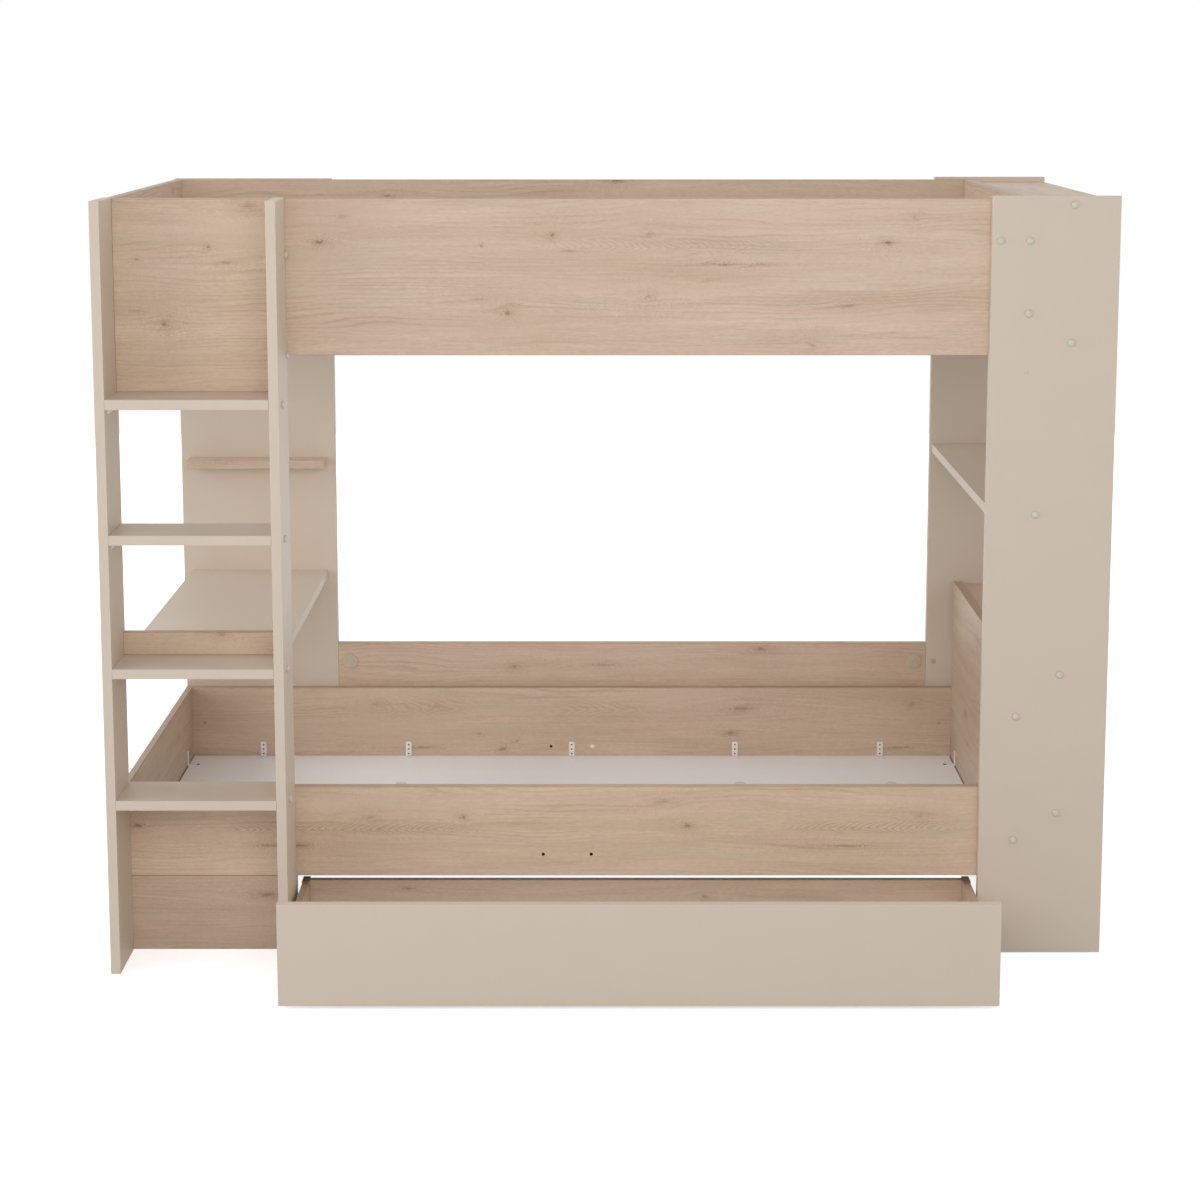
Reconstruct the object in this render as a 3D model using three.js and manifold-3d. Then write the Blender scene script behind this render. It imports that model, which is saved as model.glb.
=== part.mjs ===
// Bunk bed of coated boards: two bunks one above the other, a ladder with a desk behind it on the
// left, an open shelf tower on the right and a long drawer that rolls out from under the lower bunk.
// Millimetres, +Z up, +X to the right, +Y away from whoever stands in front of the bed.

import * as THREE from 'three';
import { mergeVertices } from 'three/addons/utils/BufferGeometryUtils.js';
import Module from 'manifold-3d';

const wasm = await Module();
wasm.setup();

// Board stock
const boardThickness = 22;
const lightBoardThickness = 16;
const boardEdgeRadius = 1;
const boardFit = 0.3; // left between two boards that are screwed together

// Mattresses that the bunks are made for
const mattressLength = 2000;
const mattressWidth = 900;
const mattressPlay = 10;

// Upper bunk
const guardTopDrop = 2; // from the top of the stiles to the top of the guards
const guardHeight = 348;

// Lower bunk
const lowerBoardBottom = 176;
const lowerBoardHeight = 210;
const lowerBaseRise = 3; // from the lower edge of the boards to the base panels
const towerEndHeight = 497;
const backGuardTop = 502;
const backGuardHeight = 212;
const spareBoreDiameter = 8;
const spareBoreSpread = 110; // between the two spare bores at the middle of a long board
const spareBoreRise = 50; // from the lower edge of the board to the bores

// Base panels of both bunks and the flat rails under them
const baseEndGap = 3.5;
const railWidth = 60;
const railEndSetback = 200; // from the long boards to the ends of a rail
const railOuterStep = 187; // from the end of the bunk to the first rail
const railInnerStep = 385; // from the first rail to the next one inwards

// Steel angle brackets that hold a base panel to the long boards
const bracketWidth = 15;
const bracketSheet = 2;
const bracketUprightLeg = 38;
const bracketFlatLeg = 32;
const bracketCornerRadius = 4;
const bracketHoleDiameter = 4.5;
const bracketHoleRise = 6; // from the bend to the first hole
const bracketHolePitch = 12;

// Ladder and the panels that stand with it
const ladderWidth = 400;
const stileHeight = 1726;
const stileDepth = 163;
const rungDepth = 156;
const rungPitch = 299;
const firstRungTop = 400;
const rungCount = 4;
const rungAngleLeg = 13;
const rungAngleSheet = 2;
const rungAngleLength = 100;
const rungAngleFrontSetback = 30;
const leftBackPanelWidth = 403;

// Desk behind the ladder and the small shelf over it
const deskStripHeight = 52;
const penShelfDepth = 60;
const penShelfTop = 1000;

// Shelf tower
const towerWidth = 283;
const towerLap = 95; // how far the tower panels reach over the end of the upper bunk
const towerRise = 4; // of the tower panels above the stiles
const towerRim = 13; // of the tower panels above the top shelf
const middleShelfSetback = 5;
const floorNicheHeight = 320;
const lowerNicheHeight = 300;
const middleNicheHeight = 350;
const topNicheHeight = 278;

// Drawer
const drawerPlay = 2; // at each side of the drawer front
const drawerFrontHeight = 227;
const drawerFloorGap = 8;
const drawerDepth = 440;
const drawerBoxInset = 7.5;
const drawerBoxTop = 151;
const drawerPulledOut = 358;
const stopPadLength = 42;
const stopPadHeight = 4;
const stopPadRadius = 3;

// Casters under the drawer
const casterHeight = 38;
const casterSideInset = 70; // from the outside of the drawer box to the middle of a wheel
const casterEndInset = 50; // from the ends of the drawer bottom to the axle
const wheelDiameter = 30;
const wheelWidth = 12;
const wheelCrown = 1.5;
const wheelWebThickness = 5;
const wheelRimThickness = 4;
const wheelHubDiameter = 11;
const wheelRunningGap = 0.35; // round the axle
const wheelSideGap = 1.8; // between the wheel and a cheek of its fork
const axleDiameter = 5;
const axleHeadDiameter = 8;
const axleHeadHeight = 1.5;
const forkSheet = 2;
const forkPlateWidth = 38;
const forkPlateLength = 46;
const forkCheekTopLength = 30;
const forkCheekEndRadius = 6;
const cutOverrun = 5;

// Facets
const edgeSteps = 2;
const roundSteps = 20;
const boreSteps = 16;
const holeSteps = 5;
const padSteps = 4;
const cheekSteps = 6;

// Lines across the bed, from the left end to the right
const innerLength = mattressLength + mattressPlay;
const upperInnerLeft = boardThickness;
const upperInnerRight = upperInnerLeft + innerLength;
const upperOuterRight = upperInnerRight + boardThickness;
const lowerInnerLeft = lightBoardThickness;
const lowerInnerRight = lowerInnerLeft + innerLength;
const lowerOuterRight = lowerInnerRight + boardThickness;
const towerLeft = upperOuterRight - towerLap;
const towerRight = towerLeft + towerWidth;
const rungLeft = boardThickness + boardFit;
const rungRight = ladderWidth - boardThickness - boardFit;

// Lines from front to back, starting at the front of the tower
const longBoardFront = boardThickness + boardFit;
const innerFront = longBoardFront + boardThickness;
const innerBack = innerFront + mattressWidth + mattressPlay;
const backPanelFront = innerBack + boardThickness + boardFit;
const backPanelBack = backPanelFront + boardThickness;
const stileFront = boardThickness - stileDepth;
const rungBack = stileFront + rungDepth;

// Lines up the bed
const guardTop = stileHeight - guardTopDrop;
const upperBoardBottom = guardTop - guardHeight;
const lowerBoardTop = lowerBoardBottom + lowerBoardHeight;
const lowerBaseBottom = lowerBoardBottom + lowerBaseRise;
const topRungTop = firstRungTop + (rungCount - 1) * rungPitch;
const deskRungTop = firstRungTop + rungPitch;
const bottomShelfTop = floorNicheHeight + boardThickness;
const lowerShelfTop = bottomShelfTop + lowerNicheHeight + boardThickness;
const middleShelfTop = lowerShelfTop + middleNicheHeight + boardThickness;
const towerHeight = stileHeight + towerRise;
const topShelfTop = towerHeight - towerRim;
const upperShelfTop = topShelfTop - boardThickness - topNicheHeight;

const beige = { color: 0xcfc2b0, roughness: 0.55, metalness: 0 };
const oak = { color: 0xc6a98c, roughness: 0.6, metalness: 0 };
const white = { color: 0xd8d0c9, roughness: 0.5, metalness: 0 };
const zinc = { color: 0xb4b6b6, roughness: 0.35, metalness: 0.9 };
const greyPlastic = { color: 0x6e6c68, roughness: 0.5, metalness: 0 };

const bed = new THREE.Group();
bed.position.set(-towerRight / 2, -(backPanelBack - drawerPulledOut) / 2, 0);

function section(name) {
  const group = new THREE.Group();
  group.name = name;
  bed.add(group);
  return group;
}

function addPiece(group, name, finish, geometry, place) {
  const mesh = new THREE.Mesh(geometry, new THREE.MeshStandardMaterial(finish));
  mesh.name = name;
  mesh.position.set(...place);
  group.add(mesh);
  return mesh;
}

// A closed solid for joining and cutting, and back again
function toSolid(geometry) {
  const plain = geometry.clone();
  plain.deleteAttribute('normal');
  plain.deleteAttribute('uv');
  const merged = mergeVertices(plain);
  return new wasm.Manifold(new wasm.Mesh({
    numProp: 3,
    vertProperties: new Float32Array(merged.attributes.position.array),
    triVerts: new Uint32Array(merged.index.array),
  }));
}

function toGeometry(solid) {
  const mesh = solid.getMesh();
  const geometry = new THREE.BufferGeometry();
  geometry.setAttribute('position', new THREE.BufferAttribute(mesh.vertProperties, mesh.numProp));
  geometry.setIndex(new THREE.BufferAttribute(mesh.triVerts, 1));
  geometry.computeVertexNormals();
  return geometry;
}

// A rectangle about the origin with all four corners rounded
function roundedRectangle(width, height, radius) {
  const halfWidth = width / 2;
  const halfHeight = height / 2;
  const shape = new THREE.Shape();
  shape.absarc(halfWidth - radius, halfHeight - radius, radius, 0, Math.PI / 2);
  shape.absarc(radius - halfWidth, halfHeight - radius, radius, Math.PI / 2, Math.PI);
  shape.absarc(radius - halfWidth, radius - halfHeight, radius, Math.PI, Math.PI * 3 / 2);
  shape.absarc(halfWidth - radius, radius - halfHeight, radius, Math.PI * 3 / 2, Math.PI * 2);
  shape.closePath();
  return shape;
}

const axes = [new THREE.Vector3(1, 0, 0), new THREE.Vector3(0, 1, 0), new THREE.Vector3(0, 0, 1)];

// A profile pushed along X, Y or Z, centred on the origin: the profile lies in the other two axes
function pushAlong(axis, shape, length, steps) {
  const geometry = new THREE.ExtrudeGeometry(
    shape, { depth: length, bevelEnabled: false, curveSegments: steps });
  geometry.translate(0, 0, -length / 2);
  const turn = new THREE.Matrix4().makeBasis(axes[(axis + 1) % 3], axes[(axis + 2) % 3], axes[axis]);
  return geometry.applyMatrix4(turn);
}

// A board between two opposite corners, with the edges along its length eased
function boardGeometry(size) {
  const axis = size.indexOf(Math.max(...size));
  const profile = roundedRectangle(size[(axis + 1) % 3], size[(axis + 2) % 3], boardEdgeRadius);
  return pushAlong(axis, profile, size[axis], edgeSteps);
}

function addBoard(group, name, finish, low, high, bores = []) {
  const size = high.map((value, i) => value - low[i]);
  const centre = high.map((value, i) => (value + low[i]) / 2);
  let geometry = boardGeometry(size);
  if (bores.length) {
    const tools = bores.map(([x, z]) => {
      const bore = new THREE.CylinderGeometry(
        spareBoreDiameter / 2, spareBoreDiameter / 2, size[1] + cutOverrun, boreSteps);
      return toSolid(bore.translate(x - centre[0], 0, z - centre[2]));
    });
    geometry = toGeometry(tools.reduce((solid, tool) => solid.subtract(tool), toSolid(geometry)));
  }
  return addPiece(group, name, finish, geometry, centre);
}

// Ladder: two stiles, four rungs, and the panels that close it behind the rungs
const ladder = section('ladder');

for (const [name, left] of [['left_stile', 0], ['right_stile', ladderWidth - boardThickness]]) {
  addBoard(ladder, name, beige, [left, stileFront, 0], [left + boardThickness, boardThickness, stileHeight]);
}

// A rung on its two steel angles, which are screwed under its ends: the angles run from front to back
function rungWithAngles(size) {
  const halfSheet = rungAngleSheet / 2;
  const halfLeg = rungAngleLeg / 2;
  const underside = -size[2] / 2;
  const middle = (rungAngleFrontSetback + rungAngleLength / 2) - size[1] / 2;
  let solid = toSolid(boardGeometry(size));
  for (const side of [-1, 1]) {
    const flatLeg = new THREE.BoxGeometry(rungAngleLeg, rungAngleLength, rungAngleSheet);
    flatLeg.translate(side * (size[0] / 2 - halfLeg), middle, underside - halfSheet);
    const hangingLeg = new THREE.BoxGeometry(rungAngleSheet, rungAngleLength, rungAngleLeg);
    hangingLeg.translate(side * (size[0] / 2 - halfSheet), middle, underside - halfLeg);
    solid = solid.add(toSolid(flatLeg)).add(toSolid(hangingLeg));
  }
  return toGeometry(solid);
}

for (let i = 0; i < rungCount; i++) {
  const top = firstRungTop + i * rungPitch;
  const size = [rungRight - rungLeft, rungDepth, boardThickness];
  const carriesAngles = top > deskRungTop;
  const geometry = carriesAngles ? rungWithAngles(size) : boardGeometry(size);
  addPiece(ladder, `rung_${i + 1}`, beige, geometry,
    [(rungLeft + rungRight) / 2, stileFront + rungDepth / 2, top - boardThickness / 2]);
}

addBoard(ladder, 'ladder_top_panel', oak,
  [rungLeft, 0, topRungTop + boardFit], [rungRight, boardThickness, guardTop]);
addBoard(ladder, 'ladder_plinth', oak,
  [0, longBoardFront, 0], [ladderWidth, innerFront, lowerBoardBottom - boardFit]);

// Desk between the ladder and the tall panel at the back
const desk = section('desk');

addBoard(desk, 'left_back_panel', beige,
  [0, backPanelFront, 0], [leftBackPanelWidth, backPanelBack, stileHeight]);
addBoard(desk, 'desk_top', beige,
  [rungLeft, rungBack + boardFit, deskRungTop - boardThickness],
  [rungRight, backPanelFront - boardFit, deskRungTop]);
addBoard(desk, 'desk_stop_strip', oak,
  [rungLeft, 0, deskRungTop + boardFit], [rungRight, boardThickness, deskRungTop + deskStripHeight]);
addBoard(desk, 'pen_shelf', oak,
  [rungLeft, backPanelFront - boardFit - penShelfDepth, penShelfTop - boardThickness],
  [rungRight, backPanelFront - boardFit, penShelfTop]);

// Steps along the inside of a bunk, alike from both ends
const outerSteps = [railOuterStep, railOuterStep + railInnerStep];
const railSteps = [...outerSteps, ...outerSteps.map((step) => innerLength - step).reverse()];
const bracketSteps = [...railSteps, innerLength / 2].sort((a, b) => a - b);

// A bunk base: two long panels side by side, tied by four flat rails underneath
function addBase(group, prefix, innerLeft, bottom) {
  const left = innerLeft + baseEndGap;
  const right = innerLeft + innerLength - baseEndGap;
  const middle = (innerFront + innerBack) / 2;
  const halfFit = boardFit / 2;
  addBoard(group, `${prefix}_base_front`, white,
    [left, innerFront + boardFit, bottom], [right, middle - halfFit, bottom + boardThickness]);
  addBoard(group, `${prefix}_base_back`, white,
    [left, middle + halfFit, bottom], [right, innerBack - boardFit, bottom + boardThickness]);
  const railTop = bottom - boardFit;
  railSteps.forEach((centre, i) => addBoard(group, `${prefix}_base_rail_${i + 1}`, white,
    [innerLeft + centre - railWidth / 2, innerFront + railEndSetback, railTop - lightBoardThickness],
    [innerLeft + centre + railWidth / 2, innerBack - railEndSetback, railTop]));
}

// Upper bunk: front guard and back board over the whole length, end boards between them
const upperBunk = section('upper_bunk');

addBoard(upperBunk, 'upper_front_guard', oak,
  [0, longBoardFront, upperBoardBottom], [upperOuterRight, innerFront, guardTop]);
addBoard(upperBunk, 'upper_back_board', oak,
  [0, innerBack, upperBoardBottom], [upperOuterRight, innerBack + boardThickness, guardTop]);
addBoard(upperBunk, 'upper_left_end', oak,
  [0, innerFront + boardFit, upperBoardBottom], [upperInnerLeft, innerBack - boardFit, guardTop]);
addBoard(upperBunk, 'upper_right_end', oak,
  [upperInnerRight, innerFront + boardFit, upperBoardBottom],
  [upperOuterRight, innerBack - boardFit, guardTop]);
addBase(upperBunk, 'upper', upperInnerLeft, upperBoardBottom);

// Lower bunk: the long boards carry two spare bores about their middle
const lowerBunk = section('lower_bunk');
const lowerMiddle = (lowerInnerLeft + lowerInnerRight) / 2;
const spareBores = [-1, 1].map((side) =>
  [lowerMiddle + side * spareBoreSpread / 2, lowerBoardBottom + spareBoreRise]);

addBoard(lowerBunk, 'lower_front_board', oak,
  [0, longBoardFront, lowerBoardBottom], [lowerOuterRight, innerFront, lowerBoardTop], spareBores);
addBoard(lowerBunk, 'lower_back_board', oak,
  [0, innerBack, lowerBoardBottom], [lowerOuterRight, innerBack + boardThickness, lowerBoardTop],
  spareBores);
addBoard(lowerBunk, 'lower_left_end', oak,
  [0, innerFront + boardFit, 0], [lowerInnerLeft, innerBack - boardFit, lowerBoardTop]);
addBoard(lowerBunk, 'lower_right_end', oak,
  [lowerInnerRight, innerFront + boardFit, lowerBoardBottom],
  [lowerOuterRight, innerBack - boardFit, lowerBoardBottom + towerEndHeight]);
addBoard(lowerBunk, 'lower_back_guard', oak,
  [leftBackPanelWidth + boardFit, backPanelFront, backGuardTop - backGuardHeight],
  [towerLeft - boardFit, backPanelBack, backGuardTop]);
addBase(lowerBunk, 'lower', lowerInnerLeft, lowerBaseBottom);

// An angle bracket with its bend at the origin: one leg stands up against the board behind it, the
// other lies forward on the base
function bracketLeg(length) {
  const halfWidth = bracketWidth / 2;
  const leg = new THREE.Shape();
  leg.moveTo(-halfWidth, 0);
  leg.lineTo(halfWidth, 0);
  leg.lineTo(halfWidth, length - bracketCornerRadius);
  leg.absarc(halfWidth - bracketCornerRadius, length - bracketCornerRadius,
    bracketCornerRadius, 0, Math.PI / 2);
  leg.absarc(bracketCornerRadius - halfWidth, length - bracketCornerRadius,
    bracketCornerRadius, Math.PI / 2, Math.PI);
  leg.closePath();
  const lastHole = length - bracketHoleDiameter;
  for (let rise = bracketHoleRise; rise < lastHole; rise += bracketHolePitch) {
    const hole = new THREE.Path();
    hole.absarc(0, rise, bracketHoleDiameter / 2, 0, Math.PI * 2, true);
    leg.holes.push(hole);
  }
  return new THREE.ExtrudeGeometry(
    leg, { depth: bracketSheet, bevelEnabled: false, curveSegments: holeSteps });
}

function bracketGeometry() {
  const upright = bracketLeg(bracketUprightLeg);
  upright.applyMatrix4(new THREE.Matrix4().makeBasis(axes[0], axes[2], axes[1].clone().negate()));
  const flat = bracketLeg(bracketFlatLeg);
  flat.applyMatrix4(new THREE.Matrix4().makeBasis(
    axes[0], axes[1].clone().negate(), axes[2].clone().negate()));
  flat.translate(0, 0, bracketSheet);
  return toGeometry(toSolid(upright).add(toSolid(flat)));
}

bracketSteps.forEach((step, i) => addPiece(lowerBunk, `lower_base_bracket_${i + 1}`, zinc,
  bracketGeometry(),
  [lowerInnerLeft + step, innerBack - boardFit, lowerBaseBottom + boardThickness + boardFit]));

// Tower: front and back panels with five shelves spanning between them
const tower = section('tower');

addBoard(tower, 'tower_front_panel', beige, [towerLeft, 0, 0], [towerRight, boardThickness, towerHeight]);
addBoard(tower, 'tower_back_panel', beige,
  [towerLeft, backPanelFront, 0], [towerRight, backPanelBack, towerHeight]);

const towerShelves = [
  ['tower_top_shelf', oak, upperOuterRight + boardFit, topShelfTop],
  ['tower_upper_shelf', oak, upperOuterRight + boardFit, upperShelfTop],
  ['tower_middle_shelf', beige, towerLeft + middleShelfSetback, middleShelfTop],
  ['tower_lower_shelf', oak, lowerOuterRight + boardFit, lowerShelfTop],
  ['tower_bottom_shelf', oak, lowerOuterRight + boardFit, bottomShelfTop],
];
for (const [name, finish, left, top] of towerShelves) {
  addBoard(tower, name, finish,
    [left, longBoardFront, top - boardThickness], [towerRight, backPanelFront - boardFit, top]);
}

// Drawer, drawn shut and then pulled out along with its group
const drawer = section('drawer');
drawer.position.y = -drawerPulledOut;

const drawerLeft = ladderWidth + drawerPlay;
const drawerRight = towerLeft - drawerPlay;
const boxLeft = drawerLeft + drawerBoxInset;
const boxRight = drawerRight - drawerBoxInset;
const boxFront = boardThickness + boardFit;
const boxBackInner = drawerDepth - lightBoardThickness;
const sideInnerLeft = boxLeft + lightBoardThickness;
const sideInnerRight = boxRight - lightBoardThickness;

addBoard(drawer, 'drawer_front', beige,
  [drawerLeft, 0, drawerFloorGap], [drawerRight, boardThickness, drawerFloorGap + drawerFrontHeight]);
addBoard(drawer, 'drawer_left_side', oak,
  [boxLeft, boxFront, casterHeight], [sideInnerLeft, drawerDepth, drawerBoxTop]);
addBoard(drawer, 'drawer_right_side', oak,
  [sideInnerRight, boxFront, casterHeight], [boxRight, drawerDepth, drawerBoxTop]);
addBoard(drawer, 'drawer_back', oak,
  [sideInnerLeft + boardFit, boxBackInner, casterHeight],
  [sideInnerRight - boardFit, drawerDepth, drawerBoxTop]);
addBoard(drawer, 'drawer_bottom', white,
  [sideInnerLeft + boardFit, boxFront, casterHeight],
  [sideInnerRight - boardFit, boxBackInner - boardFit, casterHeight + lightBoardThickness]);

// Stop pads on the back ends of the drawer sides, rounded where they end
function stopPadGeometry() {
  const halfLength = stopPadLength / 2;
  const halfHeight = stopPadHeight / 2;
  const profile = new THREE.Shape();
  profile.moveTo(-halfHeight, -halfLength);
  profile.lineTo(-halfHeight, halfLength);
  profile.lineTo(halfHeight - stopPadRadius, halfLength);
  profile.absarc(halfHeight - stopPadRadius, halfLength - stopPadRadius,
    stopPadRadius, Math.PI / 2, 0, true);
  profile.lineTo(halfHeight, -halfLength);
  profile.closePath();
  // the profile's own X runs up and its own Y runs back, so that it is pushed along the board
  const geometry = new THREE.ExtrudeGeometry(profile,
    { depth: lightBoardThickness, bevelEnabled: false, curveSegments: padSteps });
  geometry.translate(0, 0, -lightBoardThickness / 2);
  return geometry.applyMatrix4(new THREE.Matrix4().makeBasis(
    axes[2], axes[1], axes[0].clone().negate()));
}

for (const [side, left] of [['left', boxLeft], ['right', sideInnerRight]]) {
  addPiece(drawer, `drawer_stop_pad_${side}`, greyPlastic, stopPadGeometry(),
    [left + lightBoardThickness / 2, drawerDepth - stopPadLength / 2,
      drawerBoxTop + boardFit + stopPadHeight / 2]);
}

// A caster fork about the middle of its axle: top plate, two cheeks and the riveted axle
const cheekGap = wheelWidth + 2 * wheelSideGap;
const plateRise = casterHeight - boardFit - wheelDiameter / 2;

function forkGeometry() {
  const cheek = new THREE.Shape();
  cheek.moveTo(-forkCheekTopLength / 2, plateRise);
  cheek.lineTo(-forkCheekEndRadius, 0);
  cheek.absarc(0, 0, forkCheekEndRadius, -Math.PI, 0);
  cheek.lineTo(forkCheekTopLength / 2, plateRise);
  cheek.closePath();
  const plate = new THREE.BoxGeometry(forkPlateWidth, forkPlateLength, forkSheet);
  let fork = toSolid(plate.translate(0, 0, plateRise - forkSheet / 2));
  for (const side of [-1, 1]) {
    const sheet = pushAlong(0, cheek, forkSheet, cheekSteps);
    const offset = side * (cheekGap + forkSheet) / 2;
    fork = fork.add(toSolid(sheet.translate(offset, 0, 0)));
    const head = new THREE.CylinderGeometry(
      axleHeadDiameter / 2, axleHeadDiameter / 2, axleHeadHeight + forkSheet, boreSteps);
    head.rotateZ(Math.PI / 2);
    fork = fork.add(toSolid(head.translate(offset + side * axleHeadHeight / 2, 0, 0)));
  }
  const axle = new THREE.CylinderGeometry(
    axleDiameter / 2, axleDiameter / 2, cheekGap + forkSheet, boreSteps);
  return toGeometry(fork.add(toSolid(axle.rotateZ(Math.PI / 2))));
}

// A bored wheel turned about its axle: hub, web, rim and a crowned tread
function wheelGeometry() {
  const boreRadius = axleDiameter / 2 + wheelRunningGap;
  const hubRadius = wheelHubDiameter / 2;
  const outerRadius = wheelDiameter / 2;
  const rimRadius = outerRadius - wheelRimThickness;
  const halfWidth = wheelWidth / 2;
  const halfWeb = wheelWebThickness / 2;
  const halfProfile = [
    [boreRadius, halfWidth], [hubRadius, halfWidth], [hubRadius, halfWeb], [rimRadius, halfWeb],
    [rimRadius, halfWidth], [outerRadius - wheelCrown, halfWidth], [outerRadius, halfWidth - wheelCrown],
  ];
  const mirrored = halfProfile.map(([radius, along]) => [radius, -along]).reverse();
  const loop = [...halfProfile, ...mirrored, halfProfile[0]].map((point) => new THREE.Vector2(...point));
  const geometry = new THREE.LatheGeometry(loop.reverse(), roundSteps);
  return geometry.rotateZ(Math.PI / 2);
}

const casterPlaces = [
  ['front_left', boxLeft + casterSideInset, boxFront + casterEndInset],
  ['front_right', boxRight - casterSideInset, boxFront + casterEndInset],
  ['back_left', boxLeft + casterSideInset, boxBackInner - casterEndInset],
  ['back_right', boxRight - casterSideInset, boxBackInner - casterEndInset],
];
for (const [corner, x, y] of casterPlaces) {
  addPiece(drawer, `caster_fork_${corner}`, zinc, forkGeometry(), [x, y, wheelDiameter / 2]);
  addPiece(drawer, `caster_wheel_${corner}`, greyPlastic, wheelGeometry(), [x, y, wheelDiameter / 2]);
}

export default bed;
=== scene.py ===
"""Bunk bed: finishes for its boards, its small fittings, and the studio it is shown in."""
import math

import bpy
import numpy as np
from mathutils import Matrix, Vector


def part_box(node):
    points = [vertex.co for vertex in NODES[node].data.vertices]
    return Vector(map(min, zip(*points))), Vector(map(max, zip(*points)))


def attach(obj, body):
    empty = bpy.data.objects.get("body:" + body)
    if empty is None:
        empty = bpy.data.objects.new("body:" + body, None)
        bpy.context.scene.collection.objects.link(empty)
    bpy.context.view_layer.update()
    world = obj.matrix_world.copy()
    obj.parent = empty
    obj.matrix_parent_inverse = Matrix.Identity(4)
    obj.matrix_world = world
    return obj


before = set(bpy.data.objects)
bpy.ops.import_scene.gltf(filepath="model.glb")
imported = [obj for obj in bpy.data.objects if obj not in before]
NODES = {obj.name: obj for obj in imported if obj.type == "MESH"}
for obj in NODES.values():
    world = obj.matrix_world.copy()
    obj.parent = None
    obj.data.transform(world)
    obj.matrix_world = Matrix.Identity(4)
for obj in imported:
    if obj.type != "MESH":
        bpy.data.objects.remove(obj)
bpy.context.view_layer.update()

bl_info = {
    "name": "Bunk bed finishes",
    "version": (1, 0, 0),
    "blender": (4, 5, 0),
    "location": "3D View > Sidebar > Bunk bed",
    "description": "Finishes, fittings and studio for a bunk bed of coated boards",
    "category": "Object",
}

BED = "bed_frame"

# The photograph's camera, found from the lines that run front to back
CAMERA_PLACE = (-0.025, -5.8953, 2.009)
CAMERA_TILT = math.radians(8.46)
CAMERA_LENS = 75.92
CAMERA_SENSOR = 36.0
CAMERA_SHIFT = -0.13

# Turns of a fitting by where it faces: its own X, Y and Z in the bed's frame
FACING = {
    "front": ((1, 0, 0), (0, 0, 1), (0, -1, 0)),
    "back": ((-1, 0, 0), (0, 0, 1), (0, 1, 0)),
    "right": ((0, 1, 0), (0, 0, 1), (1, 0, 0)),
    "left": ((0, -1, 0), (0, 0, 1), (-1, 0, 0)),
    "up": ((1, 0, 0), (0, 1, 0), (0, 0, 1)),
}


def screen(red, green, blue):
    """A linear colour from the 0 to 255 values of a screen: ((c + 0.055) / 1.055) ** 2.4."""
    share = np.array([red, green, blue]) / 255
    linear = ((share + 0.055) / 1.055) ** 2.4
    return tuple(float(value) for value in linear) + (1.0,)


def colour(name, description, red, green, blue):
    return bpy.props.FloatVectorProperty(
        name=name, description=description, subtype="COLOR", size=4, min=0, max=1,
        default=screen(red, green, blue))


def length(name, description, metres):
    return bpy.props.FloatProperty(
        name=name, description=description, subtype="DISTANCE", unit="LENGTH",
        min=0, precision=4, default=metres)


def power(name, description, watts):
    return bpy.props.FloatProperty(
        name=name, description=description, subtype="POWER", unit="POWER", min=0, default=watts)


class BunkBedFinishes(bpy.types.PropertyGroup):
    """Colours of the coatings, the metal and the plastic."""

    beige: colour("Beige", "Coating of the ladder, desk, tower panels and drawer front", 214, 199, 182)
    oak_pale: colour("Oak, pale", "Palest bands of the oak print", 220, 197, 174)
    oak_deep: colour("Oak, deep", "Deepest bands of the oak print", 196, 169, 144)
    oak_green: colour("Oak, green", "Greener patches of the oak print", 206, 188, 163)
    oak_pink: colour("Oak, pink", "Redder patches of the oak print", 213, 180, 161)
    oak_line: colour("Oak, line", "Fine lines of the oak print", 162, 131, 104)
    oak_knot: colour("Oak, knot", "Core of a knot", 134, 100, 72)
    white: colour("White", "Coating of the base panels and rails", 251, 252, 253)
    zinc: colour("Zinc", "Brackets, forks and screws", 248, 246, 243)
    cap: colour("Cap", "Domed caps over the connecting screws", 213, 206, 195)
    plug: colour("Plug", "Plug of a spare bore", 243, 237, 231)
    base_cap: colour("Base cap", "Flat caps on the base panels", 228, 225, 221)
    spacer: colour("Spacer", "Round spacers of the back guard", 203, 190, 167)
    wheel: colour("Wheel", "Caster wheels", 92, 90, 87)
    pad: colour("Pad", "Stop pads of the drawer", 146, 117, 92)
    # Painted shade: a darker copy of the cap colour, for the small cap by the back guard and the screws in
    # the back boards' corners, which sit in shadow
    cap_painted_shade: colour("Cap, shaded", "Small cap and screws beside the lower bunk", 186, 171, 154)
    # Painted shade: the heads of the bracket screws are dark for the shade in the holes and drive recesses
    # they sit in
    screw_recess: colour("Screw", "Dark heads of the screws in the brackets", 76, 70, 64)
    # Painted shade: a dark insert that stands for the shaded inside of a spare bore
    bore: colour("Bore", "Insert in a spare bore", 43, 25, 10)


class BunkBedFittings(bpy.types.PropertyGroup):
    """Sizes and places of the small fittings."""

    cap_diameter: length("Cap diameter", "Domed cap over a connecting screw", 0.017)
    cap_rise: length("Cap rise", "Height of a domed cap", 0.0072)
    guard_cap_diameter: length("Guard cap diameter", "Cap beside the end of the back guard", 0.013)
    plug_diameter: length("Plug diameter", "Plug of a spare bore", 0.008)
    spacer_diameter: length("Spacer diameter", "Round spacer of the back guard", 0.039)
    spacer_rise: length("Spacer thickness", "Thickness of a round spacer", 0.003)
    spacer_inset: length("Spacer inset", "From the end of the guard to a spacer's middle", 0.031)
    spacer_drop: length("Spacer drop", "From the guard's top to a spacer's middle", 0.050)
    base_cap_diameter: length("Base cap diameter", "Flat cap over a rail's screw", 0.028)
    base_cap_rise: length("Base cap rise", "Height of a flat cap", 0.0008)
    base_cap_inset: length("Base cap inset", "From the end of a rail to its cap", 0.065)
    screw_diameter: length("Screw head", "Diameter of a countersunk head", 0.009)
    screw_rise: length("Screw rise", "Height of a screw's head", 0.0009)


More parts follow.
